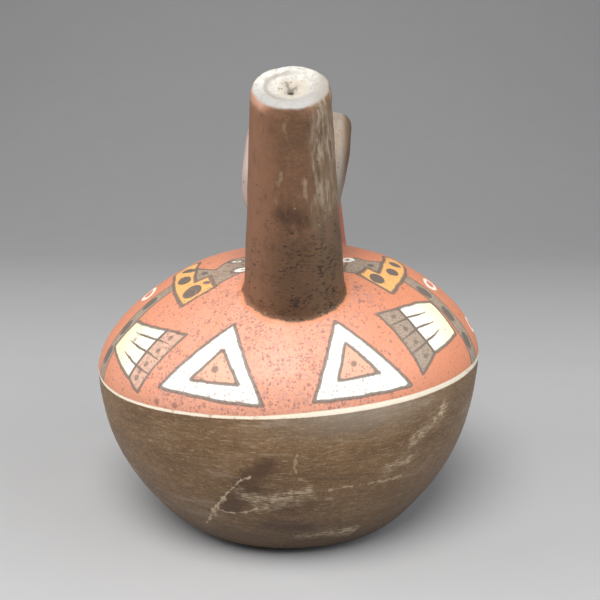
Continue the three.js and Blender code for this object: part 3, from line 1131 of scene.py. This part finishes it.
def painted_figures(paint, red, fine, brush):
    """The figures on the red slip: filled areas with dark outlines, lines, spots and rings."""

    def layer(name):
        return paint.plus(paint.attribute(name), brush)

    white, heart, square = layer("white"), layer("heart"), layer("square")
    grey, orange = layer("grey"), layer("orange")
    grit = paint.grain(0.8, 3, 0.65)
    grey_slip = paint.mix(paint.fade(grit, 0.46, 0.62, 0, 0.65), GREY_SLIP, DARK_PAINT)
    thinning = paint.fade(paint.grain(2.2, 4, 0.7), 0.35, 0.6, 0.6, 1.6)
    thin = paint.times(paint.attribute("thin_squares"), thinning)
    pale_square = paint.mix(thin, grey_slip, RED_HEART)
    white_slip = paint.mix(paint.attribute("creamy"), WHITE_SLIP, CREAM_SLIP)
    white_slip = paint.mix(paint.fade(fine, 0.5, 0.8, 0, 0.3), white_slip, CREAM_SLIP)
    orange_slip = paint.mix(paint.fade(fine, 0.4, 0.75, 0, 0.5), ORANGE_SLIP, RED_DEEP)
    colour = paint.mix(paint.inside(grey), red, grey_slip)
    colour = paint.mix(paint.outline(grey, OUTLINES["grey"]), colour, DARK_PAINT)
    colour = paint.mix(paint.inside(orange), colour, orange_slip)
    colour = paint.mix(paint.outline(orange, OUTLINES["orange"]), colour, DARK_PAINT)
    colour = paint.mix(paint.inside(white), colour, white_slip)
    colour = paint.mix(paint.inside(square), colour, pale_square)
    colour = paint.mix(paint.inside(heart), colour, paint.mix(0.65, red, RED_HEART))
    for distance, name in ((white, "white"), (square, "square"), (heart, "heart")):
        colour = paint.mix(paint.outline(distance, OUTLINES[name]), colour, DARK_PAINT)
    line_end = paint.attribute("line_end")
    width = paint.fade(line_end, -7, 0, 0.42, 0.2)
    line = paint.inside(paint.math("SUBTRACT", paint.math("ABSOLUTE", layer("line")), width), 0, 0.24)
    line = paint.times(line, paint.fade(line_end, -0.3, 0.3, 1, 0))
    colour = paint.mix(line, colour, DARK_PAINT)
    colour = paint.mix(paint.inside(layer("spot")), colour, DARK_PAINT)
    colour = paint.mix(paint.times(paint.inside(layer("dot"), 0.0, 0.4), 0.8), colour, DARK_PAINT)
    colour = paint.mix(paint.outline(layer("ring"), OUTLINES["ring"]), colour, WHITE_SLIP)
    return colour, white


def speckled(paint, colour, front, white):
    """Dark specks over red and white alike, crowded at the front and beside the spout."""
    crowd = paint.math("MAXIMUM", front, paint.attribute("by_spout"))
    clumps = paint.fade(paint.grain(7, 3), 0.34, 0.62, 0.3, 1.0)
    amount = paint.times(paint.fade(crowd, 0, 1, 0.10, 0.95), clumps)
    uneven = paint.shaken(paint.place, 0.9, 0.9)
    small = paint.times(paint.specks(0.85, 0.5, amount, uneven), 0.7)
    middling = paint.times(paint.specks(1.6, 0.8, paint.times(amount, 0.5), uneven), 0.65)
    large = paint.times(paint.specks(3.4, 1.2, paint.times(amount, 0.3), uneven), 0.8)
    specks = paint.math("MAXIMUM", small, paint.math("MAXIMUM", middling, large))
    blur = paint.fade(paint.grain(1.7, 3, 0.6), 0.50, 0.64, 0, 0.7)
    blur = paint.times(blur, paint.fade(crowd, 0.1, 0.9))
    on_red = paint.fade(white, -0.5, 0.5)
    colour = paint.mix(paint.times(blur, on_red), colour, SPECK_SOFT)
    strength = paint.fade(white, -0.5, 0.5, 0.75, 0.8)
    return paint.mix(paint.times(specks, strength), colour, SPECK), specks


def brown_bowl(paint):
    """Burnished brown of the bowl with stains, scuffs and scratches, painted shade darkening it towards the
    ground and at the lower right, and a painted sheen under the band.
    """
    streak_space = paint.stretch(paint.place, (0.14, 0.14, 1.0))
    brown, streaks = burnished(paint, streak_space, BROWN_SLIP, BROWN_DARK, TAN_WORN)
    wiped = paint.grain(6, 5, 0.7, paint.stretch(paint.place, (0.16, 0.16, 1.0)))
    brown = paint.mix(paint.fade(wiped, 0.52, 0.68, 0, 0.5), brown, BROWN_DARK)
    brown = paint.mix(paint.fade(wiped, 0.46, 0.32, 0, 0.35), brown, TAN_GREY)
    ragged = paint.sway(4.0, 4.0, 5, 0.7)
    stain = paint.fade(paint.plus(paint.attribute("stain"), ragged), -2, 3, 0.7, 0)
    brown = paint.mix(stain, brown, BROWN_BLOTCH)
    # Painted sheen: a paler grey patch under the band at the right front
    brown = paint.mix(paint.times(paint.attribute("painted_sheen"), 0.5), brown, BROWN_PAINTED_SHEEN)
    rightward, _, height = paint.parts(paint.place)
    # Painted shade: darker towards the ground and at the lower right
    brown = paint.mix(paint.fade(height, 26, 3, 0, 0.65), brown, BROWN_PAINTED_SHADE)
    shaded_low_right = paint.times(paint.fade(rightward, 5, 55), paint.fade(height, 46, 14, 0, 0.5))
    brown = paint.mix(shaded_low_right, brown, BROWN_PAINTED_SHADE)
    scuff = paint.fade(paint.plus(paint.attribute("scuff"), ragged), -2.5, 1.5, 1, 0)
    scuff = paint.times(scuff, paint.fade(streaks, 0.42, 0.56, 0.1, 0.95))
    scuff = paint.times(scuff, paint.fade(paint.grain(2.6, 4, 0.7), 0.38, 0.54, 0.2, 1.0))
    brown = paint.mix(scuff, brown, TAN_PALE)
    shaken = paint.shaken(paint.place, 3.0, 1.6)
    width = paint.fade(paint.grain(2.0, 4, 0.7), 0.38, 0.66, 0.05, 0.75)
    for scratch in SCRATCHES:
        gap = paint.line_distance(shaken, [on_bowl(*place) for place in scratch["route"]])
        mark = paint.fade(paint.math("SUBTRACT", gap, width), -0.12, 0.3, scratch["strength"], 0)
        brown = paint.mix(mark, brown, TAN_PALE)
    return brown, streaks


def belly_band(paint, colour, brown, soft):
    """Brown below the belly line and a white band along it, thin and worn in places."""
    low = paint.plus(paint.attribute("band_low"), soft)
    top = paint.plus(paint.attribute("band_top"), soft)
    colour = paint.mix(paint.inside(low, 0, 0.2), colour, brown)
    band = paint.times(paint.inside(top, 0, 0.25), paint.fade(low, -0.2, 0.2))
    band = paint.times(band, paint.fade(paint.grain(3.0, 4, 0.65), 0.30, 0.42, 0.35, 1.0))
    return paint.mix(band, colour, BAND_SLIP)


def spout_run_out(paint, colour, brush, up):
    """Brown slip of the spout run out onto the dome, with richer red around it."""
    beyond = paint.plus(paint.attribute("beyond_spout"), paint.times(brush, 2.0))
    by_foot = paint.fade(up, 20, 22)
    halo = paint.times(paint.fade(beyond, 0.8, 2.8, 0.7, 0), by_foot)
    smear = paint.times(paint.fade(beyond, 0.0, 1.0, 1, 0), by_foot)
    return paint.mix(smear, paint.mix(halo, colour, RED_RICH), BROWN_DARK)


def painted_body():
    """The body: figures in slip paint on the dome, burnished brown on the bowl."""
    paint = Mixer("painted_body")
    soft = paint.sway(0.18, 0.7, 3, 0.6)
    brush = paint.plus(paint.sway(0.45, 5.0, 2, 0.5), soft)
    up = paint.attribute("up")
    front = paint.attribute("front")
    fine = paint.grain(1.1, 4, 0.65)
    red = red_slip(paint, up, front, fine)
    colour, white = painted_figures(paint, red, fine, brush)
    colour, specks = speckled(paint, colour, front, white)
    brown, streaks = brown_bowl(paint)
    colour = belly_band(paint, colour, brown, soft)
    colour = spout_run_out(paint, colour, brush, up)
    pits = paint.math("MULTIPLY_ADD", specks, -0.5, paint.grain(0.9, 4, 0.65))
    bump = paint.math("MULTIPLY_ADD", streaks, 0.35, pits)
    roughness = paint.fade(fine, 0.3, 0.7, 0.40, 0.58)
    return paint.finish(colour, roughness, bump, bump_depth=0.12, specular=0.26)


def spout_grit(paint, brown, place):
    """Mottling all over the spout, and its darker lower middle with a blotch and black grit."""
    aside, _, high = paint.parts(place)
    mottle = paint.grain(3.4, 4, 0.7, paint.stretch(place, (0.8, 0.8, 0.5)))
    brown = paint.mix(paint.fade(mottle, 0.52, 0.68, 0, 0.6), brown, BROWN_DARK)
    brown = paint.mix(paint.fade(mottle, 0.48, 0.32, 0, 0.6), brown, BROWN_RED)
    low = paint.times(paint.fade(high, 40, 14), paint.fade(aside, -13, -1, 0.2, 1.0))
    brown = paint.mix(paint.times(low, 0.6), brown, BROWN_DARK)
    blotch = paint.fade(paint.line_distance(place, BLOTCH), 1.0, 5.0, 0.8, 0)
    blotch = paint.times(blotch, paint.fade(mottle, 0.36, 0.58, 0.3, 1.0))
    brown = paint.mix(blotch, brown, BROWN_BLOTCH)
    amount = paint.times(low, paint.fade(paint.grain(8, 3), 0.34, 0.60, 0.2, 1.0))
    grit = paint.grain(1.0, 3, 0.65, paint.stretch(place, (0.55, 0.55, 1.2)))
    dashes = paint.times(paint.fade(grit, 0.52, 0.60), amount)
    brown = paint.mix(paint.times(dashes, 0.9), brown, SPECK_BLACK)
    uneven = paint.shaken(paint.vector("MULTIPLY", place, (0.6, 0.6, 1.3)), 0.8, 0.9)
    specks = paint.specks(1.3, 0.6, paint.math("MULTIPLY_ADD", amount, 0.9, 0.04), uneven)
    return paint.mix(paint.times(specks, 0.8), brown, SPECK_BLACK)


def spout_wear(paint, brown, place, runs):
    """Worn tan runs down the spout's right side, a few short ones in front and scattered flecks."""
    aside, _, high = paint.parts(place)
    patch = paint.grain(6, 4, 0.65, paint.stretch(place, (1.0, 1.0, 0.5)))
    right = paint.times(paint.fade(aside, 5.0, 8.5), paint.fade(high, 24, 42))
    right = paint.times(right, paint.fade(runs, 0.42, 0.62))
    right = paint.times(right, paint.fade(patch, 0.40, 0.56, 0.15, 0.85))
    brown = paint.mix(right, brown, TAN_GREY)
    shaken = paint.shaken(place, 3.0, 1.6)
    for route in FRONT_RUNS:
        mark = paint.fade(paint.line_distance(shaken, route), 0.2, 1.3, 0.6, 0)
        mark = paint.times(mark, paint.fade(runs, 0.42, 0.58, 0.1, 1.0))
        brown = paint.mix(mark, brown, TAN_WORN)
    flecks = paint.specks(1.9, 0.38, paint.fade(patch, 0.52, 0.66, 0.0, 0.3))
    return paint.mix(paint.times(flecks, 0.6), brown, TAN_WORN)


def spout_slip():
    """The spout: burnished brown, lighter and redder on the left as painted light, with grit, wear and a
    crusted rim.
    """
    paint = Mixer("spout_slip")
    place = paint.attribute("spout_place", "Vector")
    aside, forth, _ = paint.parts(place)
    runs = paint.grain(1.5, 5, 0.7, paint.stretch(place, (1.0, 1.0, 0.2)))
    streak_space = paint.stretch(place, (0.28, 0.28, 1.0))
    brown, streaks = burnished(paint, streak_space, BROWN_WARM, BROWN_DARK, BROWN_RED)
    # Painted light: lighter, redder brown on the left side, where the light falls
    brown = paint.mix(paint.fade(aside, 1, -12, 0, 0.8), brown, BROWN_RED)
    brown = paint.mix(paint.fade(aside, 4, 10, 0, 0.7), brown, BROWN_OLIVE)
    brown = spout_grit(paint, brown, place)
    brown = spout_wear(paint, brown, place, runs)
    # Rim: bare clay at the left, pale crust on top
    edge = paint.plus(paint.attribute("under_rim"), paint.sway(0.4, 3.2, 4, 0.6))
    bare = paint.times(paint.fade(edge, 1.2, 4.2, 0.85, 0), paint.fade(aside, -5.0, -9.0))
    colour = paint.mix(bare, brown, BARE_CLAY)
    colour = paint.mix(paint.fade(edge, 0.3, 1.1, 1, 0), colour, rim_crust(paint, aside, forth))
    bump = paint.math("MULTIPLY_ADD", streaks, 0.15, paint.grain(0.9, 4, 0.65))
    roughness = paint.fade(runs, 0.3, 0.7, 0.42, 0.58)
    return paint.finish(colour, roughness, bump, bump_depth=0.12, specular=0.24)


def strap_slip():
    """The strap: grey brown outside, with a painted highlight on its left edge and painted shade on its right
    edge; red inside and at its foot, made dull as painted shade.
    """
    paint = Mixer("strap_slip")
    place = paint.attribute("strap_place", "Vector")
    aside, along, over = paint.parts(place)
    wobble = paint.sway(1.5, 6)
    streak_space = paint.stretch(place, (1.0, 0.2, 1.0))
    brown, streaks = burnished(paint, streak_space, STRAP_GREY, BROWN_OLIVE, TAN_WORN)
    # Painted shade darkens the right edge; a pale pink painted highlight lights the left edge
    brown = paint.mix(paint.fade(aside, 15.5, 18.5, 0, 0.9), brown, BROWN_DARK)
    brown = paint.mix(paint.fade(aside, -13, -17, 0, 0.9), brown, STRAP_EDGE_HIGHLIGHT)
    # Red inside and at the foot, darkened as painted shade
    red = paint.mix(paint.grain(8, 3), RED_PAINTED_SHADE, RED_SHADE)
    outer = paint.fade(paint.plus(over, wobble), -3.2, -1.4)
    outer = paint.math("MAXIMUM", outer, paint.fade(along, 20, 13))
    upper = paint.fade(paint.math("MULTIPLY_ADD", wobble, 3.0, along), 130, 120)
    colour = paint.mix(paint.times(outer, upper), red, brown)
    colour = paint.mix(paint.times(paint.specks(1.4, 0.5, 0.25), 0.6), colour, SPECK)
    bump = paint.math("MULTIPLY_ADD", streaks, 0.3, paint.grain(0.9, 4, 0.65))
    roughness = paint.fade(streaks, 0.3, 0.7, 0.5, 0.62)
    return paint.finish(colour, roughness, bump, bump_depth=0.14, specular=0.24)


def bare_inside():
    """The inside: bare clay in the bore and the body, a crusted dish in the mouth."""
    paint = Mixer("bare_inside")
    place = paint.attribute("spout_place", "Vector")
    aside, forth, _ = paint.parts(place)
    ragged = paint.sway(1.0, 1.6, 4, 0.7)
    clay = paint.mix(paint.grain(9, 4), CLAY_INSIDE, CLAY_INSIDE_PALE)
    out = paint.math("SQRT", paint.plus(paint.times(aside, aside), paint.times(forth, forth)))
    crust = rim_crust(paint, aside, forth)
    # Tan dish inside a shallow groove that holds painted shadow, strongest at the left, with a dark crack in
    # its middle
    dish = paint.fade(paint.plus(out, ragged), MOUTH_RADIUS - 1.0, MOUTH_RADIUS - 3.4)
    tan = paint.mix(paint.fade(aside, -2, -6, 0, 0.8), DISH_TAN, CRUST)
    tan = paint.mix(paint.fade(paint.grain(0.8, 4, 0.7), 0.46, 0.70, 0, 0.6), tan, CRUST_SHADE)
    grains = paint.times(paint.specks(0.9, 0.45, 0.28), 0.55)
    crust = paint.mix(dish, crust, paint.mix(grains, tan, CRUST_DARK))
    groove_shadow = paint.math("SUBTRACT", paint.math("MULTIPLY_ADD", ragged, 0.5, out), MOUTH_RADIUS)
    groove_shadow = paint.fade(paint.math("ABSOLUTE", groove_shadow), 0.2, 1.2, 1, 0)
    leftward = paint.fade(aside, 4, -5, 0.15, 0.75)
    crust = paint.mix(paint.times(groove_shadow, leftward), crust, CRUST_SHADE)
    flat = paint.vector("MULTIPLY", paint.shaken(place, 1.2, 1.6), (1.0, 1.0, 0.0))
    crack = paint.math("MINIMUM", paint.line_distance(flat, CRACK), paint.line_distance(flat, CRACK_BRANCH))
    crust = paint.mix(paint.fade(crack, 0.1, 0.75, 0.9, 0), crust, CRUST_DARK)
    crust = paint.mix(paint.fade(crack, 0.5, 2.2, 0.45, 0), crust, CRUST_SHADE)
    deep = paint.fade(paint.plus(paint.attribute("under_rim"), ragged), 4.5, 6.0)
    colour = paint.mix(deep, crust, clay)
    return paint.finish(colour, 0.85, paint.grain(1.1, 5, 0.7), bump_depth=0.35, specular=0.2)


# Camera, light and floor

CAMERA_PLACE = (0.0005, -0.320, 0.1577)
CAMERA_PITCH = math.radians(12.83)
CAMERA_YAW = math.radians(0.74)
FOCAL_PIXELS = 821.4
FRAME_PIXELS = 600
SENSOR = 36.0
NEAR_CLIP = 0.01
FLOOR_SIZE = 3.0
FLOOR_WIDENING = 4.0
WALL_HEIGHT = 2.0
WALL_FOLD = 0.9
WALL_FOLD_STEPS = 12
FLOOR_GREY = (0.285, 0.285, 0.29)
FLOOR_GREY_PALE = (0.30, 0.30, 0.305)
SKY_TINT = (0.95, 0.97, 1.0, 1)
SKY_STRENGTH = 0.30
LIGHT_TARGET = (0, 0, 0.08)
LIGHTS = [
    {"name": "key", "place": (-0.15, -0.65, 1.05), "size": 0.8, "watts": 25, "tint": (1.0, 0.98, 0.95)},
    {"name": "fill", "place": (0.8, -0.4, 0.6), "size": 0.8, "watts": 7, "tint": (0.95, 0.98, 1.0)},
    {"name": "side", "place": (-0.9, -0.1, 0.5), "size": 0.6, "watts": 5, "tint": (1.0, 1.0, 1.0)},
]


def place_camera():
    turn = (math.pi / 2 - CAMERA_PITCH, 0, -CAMERA_YAW)
    bpy.ops.object.select_all(action="DESELECT")
    bpy.ops.object.camera_add(location=CAMERA_PLACE, rotation=turn)
    camera = bpy.context.object
    camera.data.sensor_width = SENSOR
    camera.data.lens = FOCAL_PIXELS / FRAME_PIXELS * SENSOR
    camera.data.clip_start = NEAR_CLIP
    bpy.context.scene.camera = camera


def soft_light(name, place, size, watts, tint):
    bpy.ops.object.select_all(action="DESELECT")
    bpy.ops.object.light_add(type="AREA", location=place)
    light = bpy.context.object
    light.name = name
    light.data.shape = "DISK"
    light.data.size = size
    light.data.energy = watts
    light.data.color = tint
    light.rotation_euler = (Vector(LIGHT_TARGET) - Vector(place)).to_track_quat("-Z", "Y").to_euler()


def build_floor():
    """A wide pale floor that runs up into a plain wall well behind the vessel."""
    bpy.ops.object.select_all(action="DESELECT")
    bpy.ops.mesh.primitive_plane_add(size=FLOOR_SIZE, location=(0, 0, 0))
    floor = bpy.context.object
    floor.name = "floor"
    corners = points_of(floor)
    behind = corners[:, 1] > 0
    deeper = np.where(behind, 1, FLOOR_WIDENING)
    place_points(floor, corners * np.stack([np.full(4, FLOOR_WIDENING), deeper, np.ones(4)], 1))
    choose_edges(floor, lambda start, end: behind[start] and behind[end])
    bpy.ops.mesh.extrude_region_move(TRANSFORM_OT_translate={"value": (0, 0, WALL_HEIGHT)})
    bpy.ops.mesh.select_all(action="SELECT")
    bpy.ops.object.mode_set(mode="OBJECT")
    fold = floor.modifiers.new("fold", "BEVEL")
    fold.width = WALL_FOLD
    fold.segments = WALL_FOLD_STEPS
    bpy.ops.object.modifier_apply(modifier=fold.name)
    bpy.ops.object.shade_smooth()
    paint = Mixer("floor")
    speckle = paint.grain(40, 3)
    colour = paint.mix(speckle, FLOOR_GREY, FLOOR_GREY_PALE)
    floor.data.materials.append(paint.finish(colour, 0.8, speckle, bump_depth=0.01, specular=0.2))


def light_scene():
    world = bpy.data.worlds.new("studio")
    world.use_nodes = True
    bpy.context.scene.world = world
    sky = world.node_tree.nodes["Background"]
    sky.inputs["Color"].default_value = SKY_TINT
    sky.inputs["Strength"].default_value = SKY_STRENGTH
    for light in LIGHTS:
        soft_light(**light)
    bpy.context.scene.view_settings.view_transform = "Standard"


place_camera()
build_floor()
light_scene()
vessel = build_vessel([painted_body(), spout_slip(), strap_slip(), bare_inside()])
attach(vessel, "root")
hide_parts("body", "spout")
